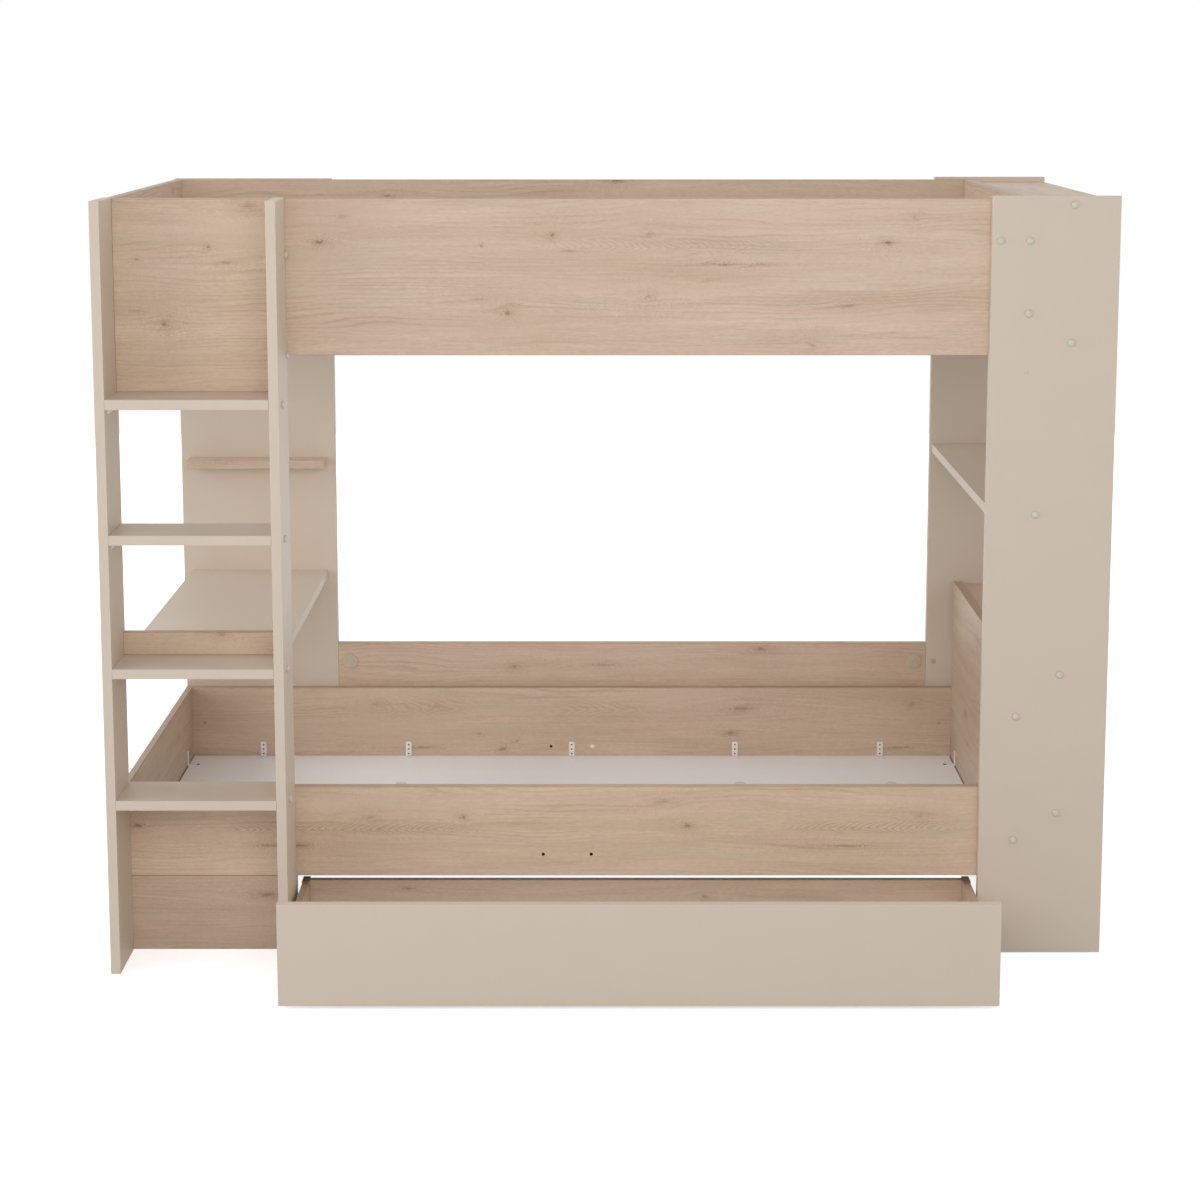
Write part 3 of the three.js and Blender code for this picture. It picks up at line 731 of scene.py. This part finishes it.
def add_piece(name, shape, material):
    """One mesh object from points and faces, riding on the bed's frame."""
    points, faces = shape
    data = bpy.data.meshes.new(name)
    data.from_pydata(points.tolist(), [], faces)
    data.materials.append(material)
    data.shade_smooth()
    data.set_sharp_from_angle(angle=SMOOTH_UNDER)
    piece = bpy.data.objects.new(name, data)
    bpy.context.scene.collection.objects.link(piece)
    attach(piece, BED)
    return piece


def middle(node, axis):
    low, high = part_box(node)
    return (low[axis] + high[axis]) / 2


# Plugs of spare bores, as shares of the named cap and plug
TOWER_PLUG_RISE_SHARE = 1 / 3
BORE_PLUG_WIDTH_SHARE = 1.5
BORE_PLUG_RISE_SHARE = 0.5

# Where the screws of the tower and the stiles sit
SHELF_SCREW_STEP = 0.085
MIDDLE_SHELF_SCREW_STEP = 0.105
SCREW_LIFTS = {"tower_top_shelf": 0.005, "tower_middle_shelf": -0.005}
UPPER_END_SCREWS = (1.632, 1.471)
LOWER_END_SCREWS = (0.556, 0.267)
GUARD_SCREW_STEP = 0.064
SPARE_BORE_HEIGHT = 1.342
STILE_SCREW_SETBACK = 0.056
STILE_PANEL_SCREWS = (1.601, 1.377)
GUARD_CAP_STEP = 0.021
SHELF_NODES = ["tower_top_shelf", "tower_upper_shelf", "tower_lower_shelf", "tower_bottom_shelf",
               "tower_middle_shelf"]


def tower_screws():
    """(x, z) of the screws that hold the shelves and the bunks' right ends."""
    places = []
    for node in SHELF_NODES:
        step = MIDDLE_SHELF_SCREW_STEP if node == "tower_middle_shelf" else SHELF_SCREW_STEP
        places.append((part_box(node)[0].x + step, middle(node, 2) + SCREW_LIFTS.get(node, 0)))
    upper = middle("upper_right_end", 0)
    places += [(upper, height) for height in UPPER_END_SCREWS]
    places.append((upper - GUARD_SCREW_STEP, UPPER_END_SCREWS[0]))
    places += [(middle("lower_right_end", 0), height) for height in LOWER_END_SCREWS]
    return places


def left_panel_screws():
    """(x, z) of the screws through the tall panel behind the desk."""
    ends = (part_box("pen_shelf")[0].x + SHELF_SCREW_STEP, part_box("pen_shelf")[1].x - SHELF_SCREW_STEP)
    places = [(x, middle(node, 2)) for node in ("pen_shelf", "desk_top") for x in ends]
    places += [(middle("upper_left_end", 0), height) for height in UPPER_END_SCREWS]
    places += [(middle("lower_left_end", 0), LOWER_END_SCREWS[1])]
    return places


class BUNKBED_OT_caps(bpy.types.Operator):
    """Cap the connecting screws of the tower, the stiles and the panel behind the desk"""

    bl_idname = "bunk_bed.caps"
    bl_label = "Set the screw caps"

    def execute(self, context):
        finishes = context.scene.bunk_bed_finishes
        fittings = context.scene.bunk_bed_fittings
        material = moulded_plastic("cap_plastic", finishes.cap, 0.4)
        # A darker copy of the cap plastic: painted shade for a cap and screws that sit in shadow
        shaded = moulded_plastic("shaded_cap_plastic", finishes.cap_painted_shade, 0.4)
        cap = turned(dome_profile(fittings.cap_diameter, fittings.cap_rise))
        plug = turned(dome_profile(
            fittings.plug_diameter, fittings.cap_rise * TOWER_PLUG_RISE_SHARE))
        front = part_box("tower_front_panel")[0].y
        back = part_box("tower_back_panel")[1].y
        inner_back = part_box("tower_back_panel")[0]
        spare = (middle("upper_right_end", 0), front, SPARE_BORE_HEIGHT)
        add_piece("tower_front_caps", set_out(cap, [((x, front, z), "front") for x, z in tower_screws()]),
                  material)
        add_piece("tower_back_caps", set_out(cap, [((x, back, z), "back") for x, z in tower_screws()]),
                  material)
        add_piece("tower_plug", set_out(plug, [(spare, "front")]), material)
        small = turned(screw_profile(fittings.guard_cap_diameter, fittings.screw_rise))
        beside = (inner_back.x + GUARD_CAP_STEP, inner_back.y,
                  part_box("lower_back_guard")[1].z - fittings.spacer_drop)
        add_piece("guard_end_cap", set_out(small, [(beside, "front")]), shaded)
        panel_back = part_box("left_back_panel")[1].y
        add_piece("left_panel_caps", set_out(
            cap, [((x, panel_back, z), "back") for x, z in left_panel_screws()]), material)
        for node, side, facing in (("left_stile", 0, "left"), ("right_stile", 1, "right")):
            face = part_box(node)[side].x
            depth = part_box(node)[0].y + STILE_SCREW_SETBACK
            places = [((face, depth, middle(f"rung_{i}", 2)), facing) for i in range(1, 5)]
            places += [((face, middle("ladder_top_panel", 1), z), facing) for z in STILE_PANEL_SCREWS]
            add_piece(f"{node}_caps", set_out(cap, places), material)
        return {"FINISHED"}


class BUNKBED_OT_spacers(bpy.types.Operator):
    """Set the round spacers near the ends of the back guard"""

    bl_idname = "bunk_bed.spacers"
    bl_label = "Set the round spacers"

    def execute(self, context):
        finishes = context.scene.bunk_bed_finishes
        fittings = context.scene.bunk_bed_fittings
        low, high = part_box("lower_back_guard")
        height = high.z - fittings.spacer_drop
        ends = (low.x + fittings.spacer_inset, high.x - fittings.spacer_inset)
        shape = turned(disc_profile(fittings.spacer_diameter, fittings.spacer_rise), 48)
        add_piece("guard_spacers", set_out(shape, [((x, low.y, height), "front") for x in ends]),
                  moulded_plastic("spacer_plastic", finishes.spacer, 0.5))
        return {"FINISHED"}


# Brackets: turns from the back board to the other sides, and places
END_BRACKET_INSET = 0.094
BRACKET_TURNS = {
    "back": ((1, 0, 0), (0, 1, 0), (0, 0, 1)),
    "front": ((-1, 0, 0), (0, -1, 0), (0, 0, 1)),
    "left": ((0, 1, 0), (-1, 0, 0), (0, 0, 1)),
    "right": ((0, -1, 0), (1, 0, 0), (0, 0, 1)),
}


def bracket_shape():
    """The bed's own bracket as points and faces about its bend, with its doubled points merged."""
    data = NODES["lower_base_bracket_1"].data
    corners = np.zeros(len(data.vertices) * 3)
    data.vertices.foreach_get("co", corners)
    rows = np.zeros(len(data.loops), int)
    data.loops.foreach_get("vertex_index", rows)
    points, index = np.unique(corners.reshape(-1, 3).round(6), axis=0, return_inverse=True)
    low, high = points.min(0), points.max(0)
    bend = np.array([(low[0] + high[0]) / 2, high[1], low[2]])
    faces = [tuple(face) for face in index.reshape(-1)[rows].reshape(-1, 3) if len(set(face)) == 3]
    return points - bend, faces


# Screws in the brackets
BRACKET_HOLE_RISE = 0.006
BRACKET_HOLE_PITCH = 0.012
BRACKET_SHEET = 0.002
BRACKET_SCREW_DIAMETER = 0.0052
BRACKET_SCREW_SINK = 0.0008
END_SCREW_DIAMETER = 0.009
END_SCREW_RISE = 0.0008
END_SCREW_STEP = 0.0275


def bracket_screw_shape(ends_leg):
    """Dark screw heads in a bracket: three up its tall leg, and two sunk in its flat leg or, on an
    end bracket, one standing on the leg's end."""
    radius = BRACKET_SCREW_DIAMETER / 2
    top = BRACKET_SHEET - BRACKET_SCREW_SINK
    head = turned([(0, 0), (radius, 0), (radius, top), (radius * 0.55, top),
                   (radius * 0.2, top - radius * 0.4), (0, top - radius * 0.4)], 12)
    rises = [BRACKET_HOLE_RISE + i * BRACKET_HOLE_PITCH for i in range(3)]
    places = [((0, 0, rise), "front") for rise in rises]
    if not ends_leg:
        return set_out(head, places + [((0, -rise, 0), "up") for rise in rises[:2]])
    large = turned(disc_profile(END_SCREW_DIAMETER, END_SCREW_RISE), 20)
    return joined([set_out(head, places), set_out(large, [((0, -END_SCREW_STEP, BRACKET_SHEET), "up")])])


class BUNKBED_OT_brackets(bpy.types.Operator):
    """Set the rest of the brackets, along the front boards, the ends and the upper bunk, and screws"""

    bl_idname = "bunk_bed.brackets"
    bl_label = "Set the base brackets"

    def execute(self, context):
        finishes = context.scene.bunk_bed_finishes
        bracket = bracket_shape()
        screws = {side: bracket_screw_shape(side in ("left", "right")) for side in BRACKET_TURNS}
        zinc = bpy.data.materials["zinc_plate"]
        # Dark screw heads: painted shade for the shaded holes in the brackets
        painted_shade_plastic = moulded_plastic("screw_recess", finishes.screw_recess, 0.45, 0.25)
        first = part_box("lower_left_end")[1].x
        steps = [middle(f"lower_base_bracket_{i}", 0) - first for i in range(1, 6)]
        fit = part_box("lower_base_bracket_1")[0].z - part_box("lower_base_back")[1].z
        for bunk in ("lower", "upper"):
            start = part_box(f"{bunk}_left_end")[1].x
            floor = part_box(f"{bunk}_base_back")[1].z + fit
            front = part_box(f"{bunk}_base_front")[0].y
            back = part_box(f"{bunk}_base_back")[1].y
            left = start + fit
            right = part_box(f"{bunk}_right_end")[0].x - fit
            ends = (front + END_BRACKET_INSET, back - END_BRACKET_INSET)
            rows = {
                "front": [(start + step, front, floor) for step in steps],
                "back": [(start + step, back, floor) for step in steps],
                "left": [(left, y, floor) for y in ends],
                "right": [(right, y, floor) for y in ends],
            }
            for side, points in rows.items():
                places = [(point, side) for point in points]
                if (bunk, side) != ("lower", "back"):
                    add_piece(f"{bunk}_{side}_brackets", set_out(bracket, places, BRACKET_TURNS), zinc)
                add_piece(f"{bunk}_{side}_bracket_screws", set_out(screws[side], places, BRACKET_TURNS),
                          painted_shade_plastic)
        return {"FINISHED"}


# Small screws in the back boards' corners, from the ends and from the base
CORNER_SCREW_STEP = 0.032
CORNER_SCREW_RISE = 0.089


class BUNKBED_OT_base_fittings(bpy.types.Operator):
    """Set the flat caps and small screws of both bases"""

    bl_idname = "bunk_bed.base_fittings"
    bl_label = "Set the base caps and screws"

    def execute(self, context):
        finishes = context.scene.bunk_bed_finishes
        fittings = context.scene.bunk_bed_fittings
        flat = moulded_plastic("base_cap_plastic", finishes.base_cap, 0.45)
        # The corner screws take the darker cap plastic: painted shade, as they sit in shadow
        shaded = bpy.data.materials["shaded_cap_plastic"]
        cap = turned(disc_profile(fittings.base_cap_diameter, fittings.base_cap_rise), 32)
        screw = turned(screw_profile(fittings.screw_diameter, fittings.screw_rise), 20)
        for bunk in ("lower", "upper"):
            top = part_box(f"{bunk}_base_back")[1].z
            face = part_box(f"{bunk}_back_board")[0].y
            ends = (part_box(f"{bunk}_left_end")[1].x + CORNER_SCREW_STEP,
                    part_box(f"{bunk}_right_end")[0].x - CORNER_SCREW_STEP)
            caps = []
            for i in range(1, 5):
                low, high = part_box(f"{bunk}_base_rail_{i}")
                across = (low.y + fittings.base_cap_inset, high.y - fittings.base_cap_inset)
                caps += [((middle(f"{bunk}_base_rail_{i}", 0), y, top), "up") for y in across]
            add_piece(f"{bunk}_base_caps", set_out(cap, caps), flat)
            screws = [((x, face, top + CORNER_SCREW_RISE), "front") for x in ends]
            add_piece(f"{bunk}_corner_screws", set_out(screw, screws), shaded)
        return {"FINISHED"}


# Spare bores of the long lower boards, and the dark inserts in them: painted shade for the bores' insides
BORE_SPREAD = 0.110
BORE_RISE = 0.050
BORE_FIT = 0.0004
INSERT_SETBACK = 0.0025


class BUNKBED_OT_bore_inserts(bpy.types.Operator):
    """Fill the spare bores of the long lower boards with dark inserts, painted shade for their insides, and
    cap one of them with a pale plug
    """

    bl_idname = "bunk_bed.bore_inserts"
    bl_label = "Fill the spare bores"

    def execute(self, context):
        finishes = context.scene.bunk_bed_finishes
        fittings = context.scene.bunk_bed_fittings
        # The dark inserts are painted shade for the insides of the bores
        painted_shade_plastic = moulded_plastic("bore_insert", finishes.bore, 0.5, 0.2)
        radius = fittings.plug_diameter / 2 - BORE_FIT
        centre = (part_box("lower_left_end")[1].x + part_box("lower_right_end")[0].x) / 2
        places = []
        for node in ("lower_front_board", "lower_back_board"):
            low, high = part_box(node)
            height = low.z + BORE_RISE
            depth = high.y - low.y - 2 * INSERT_SETBACK
            places += [((centre + side * BORE_SPREAD / 2, high.y - INSERT_SETBACK, height), "front")
                       for side in (-1, 1)]
        insert = turned([(0, 0), (radius, 0), (radius, depth), (radius * 0.4, depth),
                         (radius * 0.3, depth - radius), (0, depth - radius)], 20)
        add_piece("bore_inserts", set_out(insert, places), painted_shade_plastic)
        plug = turned(dome_profile(fittings.plug_diameter * BORE_PLUG_WIDTH_SHARE,
                                   fittings.cap_rise * BORE_PLUG_RISE_SHARE), 24)
        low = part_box("lower_back_board")[0]
        add_piece("bore_plug", set_out(
            plug, [((centre + BORE_SPREAD / 2, low.y, low.z + BORE_RISE), "front")]),
            moulded_plastic("plug_plastic", finishes.plug, 0.4))
        return {"FINISHED"}


# Studio

FLOOR_LOWERED = 0.0005
FLOOR_FADE = (2.2, 4.5)
UNDER_FADE = 0.08
LAMP_AIM = (0.1, 0.0, 0.9)
LAMPS = {
    "front_lamp": ((0.0, -4.0, 2.2), (3.0, 1.2)),
    "right_lamp": ((2.5, -6.0, 1.8), (3.0, 2.0)),
    "left_lamp": ((-4.5, -2.5, 1.8), (2.5, 2.5)),
    "ladder_side_lamp": ((-5.0, 0.5, 2.5), (3.0, 3.0)),
    "tower_side_lamp": ((5.0, 0.5, 2.5), (3.0, 3.0)),
}


def add_lamp(name, place, sides, watts):
    """A rectangular lamp that faces LAMP_AIM."""
    data = bpy.data.lights.new(name, "AREA")
    data.shape = "RECTANGLE"
    data.size, data.size_y = sides
    data.energy = watts
    lamp = bpy.data.objects.new(name, data)
    aim = Vector(LAMP_AIM) - Vector(place)
    lamp.location = place
    lamp.rotation_euler = aim.to_track_quat("-Z", "Y").to_euler()
    bpy.context.scene.collection.objects.link(lamp)


def seen_directly(graph):
    """1 for what the camera, a reflection or a see-through surface looks at, else 0."""
    path = graph.node("ShaderNodeLightPath").outputs
    return graph.math("MAXIMUM", path["Is Camera Ray"], graph.math(
        "MAXIMUM", path["Is Glossy Ray"], path["Is Transmission Ray"]))


class BUNKBED_OT_studio(bpy.types.Operator):
    """Lay the floor, set the light and stand the camera where the photograph was taken"""

    bl_idname = "bunk_bed.studio"
    bl_label = "Set up the studio"

    def execute(self, context):
        studio = context.scene.bunk_bed_studio
        self.lay_floor(studio)
        self.light_dome(context.scene, studio)
        for name, (place, sides) in LAMPS.items():
            add_lamp(name, place, sides, getattr(studio, name))
        self.stand_camera(context.scene)
        context.scene.view_settings.view_transform = "Standard"
        return {"FINISHED"}

    def lay_floor(self, studio):
        """A square at floor level that keeps its shadow round the bed and is plain white far off; under the
        bed, painted light pales its shadow.
        """
        half = studio.floor_side / 2
        data = bpy.data.meshes.new("studio_floor")
        data.from_pydata([(-half, -half, -FLOOR_LOWERED), (half, -half, -FLOOR_LOWERED),
                          (half, half, -FLOOR_LOWERED), (-half, half, -FLOOR_LOWERED)],
                         [], [(0, 1, 2, 3)])
        made, graph, surface, place = new_material("studio_floor", 0.9)
        cloud = graph.noise(place, (3, 3, 3), 2.0)
        paler = tuple(min(value * 1.01, 1) for value in studio.floor[:3]) + (1.0,)
        seen = seen_directly(graph)
        graph.feed(surface.inputs["Base Color"], graph.mix(
            seen, graph.mix(cloud, studio.floor, paler), studio.floor_seen))
        surface.inputs["Emission Color"].default_value = (1, 1, 1, 1)
        # Painted light: more white under the bed than round it
        near = graph.span(self.painted_light_under_bed(graph, place), 0.0, 1.0,
                          studio.floor_lift, studio.floor_painted_light_under)
        far = graph.span(graph.vector("LENGTH", place), *FLOOR_FADE)
        lift = graph.math("MAXIMUM", near, far)
        graph.feed(surface.inputs["Emission Strength"], graph.math("MULTIPLY", seen, lift))
        data.materials.append(made)
        floor = bpy.data.objects.new("studio_floor", data)
        bpy.context.scene.collection.objects.link(floor)

    def painted_light_under_bed(self, graph, place):
        """1 on the floor between the lower bunk's boards, where the floor gets painted light, 0 outside
        them.
        """
        low = (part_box("lower_left_end")[0].x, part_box("lower_front_board")[0].y)
        high = (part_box("lower_right_end")[1].x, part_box("lower_back_board")[1].y)
        axes = graph.separate(place)
        shares = []
        for axis in (0, 1):
            away = graph.math("ABSOLUTE", graph.math(
                "SUBTRACT", axes[axis], (low[axis] + high[axis]) / 2))
            half = (high[axis] - low[axis]) / 2
            shares.append(graph.span(away, half - UNDER_FADE, half, 1.0, 0.0))
        return graph.math("MULTIPLY", *shares)

    def light_dome(self, scene, studio):
        """Even light from all round, which the camera and reflections see as plain white."""
        world = bpy.data.worlds.new("studio")
        world.use_nodes = True
        graph = Graph(world.node_tree)
        background = world.node_tree.nodes["Background"]
        background.inputs["Color"].default_value = (1, 1, 1, 1)
        graph.feed(background.inputs["Strength"],
                   graph.span(seen_directly(graph), 0.0, 1.0, studio.dome, 1.0))
        scene.world = world

    def stand_camera(self, scene):
        data = bpy.data.cameras.new("photo_camera")
        data.lens = CAMERA_LENS
        data.sensor_width = CAMERA_SENSOR
        data.shift_y = CAMERA_SHIFT
        camera = bpy.data.objects.new("photo_camera", data)
        camera.location = CAMERA_PLACE
        camera.rotation_euler = (math.pi / 2 - CAMERA_TILT, 0, 0)
        scene.collection.objects.link(camera)
        scene.camera = camera


OPERATORS = (
    BUNKBED_OT_studio, BUNKBED_OT_boards, BUNKBED_OT_metalwork, BUNKBED_OT_caps,
    BUNKBED_OT_spacers, BUNKBED_OT_brackets, BUNKBED_OT_base_fittings, BUNKBED_OT_bore_inserts,
)
SETTINGS = {
    "bunk_bed_finishes": BunkBedFinishes,
    "bunk_bed_fittings": BunkBedFittings,
    "bunk_bed_studio": BunkBedStudio,
}


class BUNKBED_PT_panel(bpy.types.Panel):
    """Sizes, colours and steps of the bunk bed"""

    bl_idname = "BUNKBED_PT_panel"
    bl_label = "Bunk bed"
    bl_space_type = "VIEW_3D"
    bl_region_type = "UI"
    bl_category = "Bunk bed"

    def draw(self, context):
        for name in SETTINGS:
            settings = getattr(context.scene, name)
            for prop in settings.bl_rna.properties:
                if prop.identifier not in ("rna_type", "name"):
                    self.layout.prop(settings, prop.identifier)
        for operator in OPERATORS:
            self.layout.operator(operator.bl_idname)


def register():
    for name, group in SETTINGS.items():
        bpy.utils.register_class(group)
        setattr(bpy.types.Scene, name, bpy.props.PointerProperty(type=group))
    for kind in (*OPERATORS, BUNKBED_PT_panel):
        bpy.utils.register_class(kind)


def unregister():
    for kind in (BUNKBED_PT_panel, *reversed(OPERATORS)):
        bpy.utils.unregister_class(kind)
    for name, group in SETTINGS.items():
        delattr(bpy.types.Scene, name)
        bpy.utils.unregister_class(group)


def main():
    register()
    for operator in OPERATORS:
        family, name = operator.bl_idname.split(".")
        getattr(getattr(bpy.ops, family), name)()


if __name__ == "__main__":
    main()
